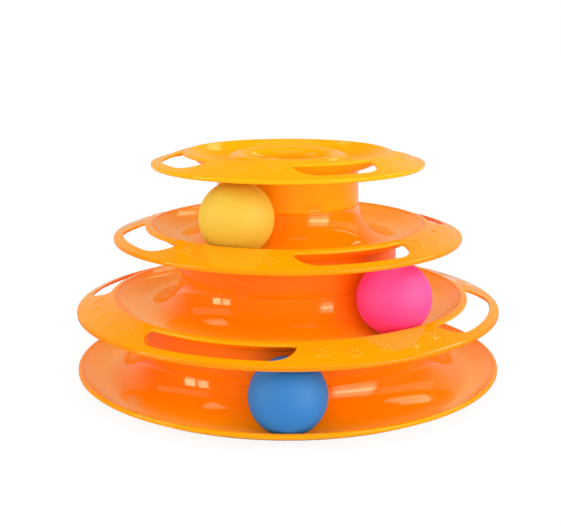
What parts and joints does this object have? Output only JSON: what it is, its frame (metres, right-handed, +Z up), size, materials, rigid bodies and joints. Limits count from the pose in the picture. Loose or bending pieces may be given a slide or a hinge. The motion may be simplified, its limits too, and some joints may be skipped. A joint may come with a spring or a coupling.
{
  "type": "cat ball track toy",
  "caption": "Round tower of stacked plastic ball tracks with slotted rims, a raised ring on the top cap and a loose ball in each track.",
  "frame": {"origin": "on the tower's upright axis, at the level of the table that it stands on", "axes": "+Z up along the axis, -Y towards the front, where the blue ball lies"},
  "size_m": [0.25, 0.2527, 0.1346],
  "materials": {
    "orange_shell": "glossy, slightly translucent orange moulding",
    "amber_shell": "glossy, slightly translucent amber-orange moulding",
    "blue_plastic": "fine matte",
    "pink_plastic": "fine matte",
    "yellow_plastic": "fine matte",
    "pad_rubber": "soft matte rubber"
  },
  "bodies": {
    "base": {"base_tray": "orange_shell", "anti_slip_pads": "pad_rubber"},
    "lower_tier": {"lower_tier": "orange_shell"},
    "upper_tier": {"upper_tier": "orange_shell"},
    "top_cap": {"top_cap": "amber_shell"},
    "blue_ball": {"blue_ball": "blue_plastic"},
    "pink_ball": {"pink_ball": "pink_plastic"},
    "yellow_ball": {"yellow_ball": "yellow_plastic"}
  },
  "joints": [
    {"name": "lower_tier_lift", "type": "slide", "parent": "base", "child": "lower_tier", "axis": [0, 0, 1], "range_m": [0, 0.04]},
    {"name": "upper_tier_lift", "type": "slide", "parent": "lower_tier", "child": "upper_tier", "axis": [0, 0, 1], "range_m": [0, 0.04]},
    {"name": "top_cap_lift", "type": "slide", "parent": "upper_tier", "child": "top_cap", "axis": [0, 0, 1], "range_m": [0, 0.04]},
    {"name": "blue_ball_orbit", "type": "hinge", "parent": "base", "child": "blue_ball", "pos_m": [0, 0, 0.02305], "axis": [0, 0, 1], "continuous": true},
    {"name": "pink_ball_orbit", "type": "hinge", "parent": "lower_tier", "child": "pink_ball", "pos_m": [0, 0, 0.06205], "axis": [0, 0, 1], "continuous": true},
    {"name": "yellow_ball_orbit", "type": "hinge", "parent": "upper_tier", "child": "yellow_ball", "pos_m": [0, 0, 0.10405], "axis": [0, 0, 1], "continuous": true}
  ]
}
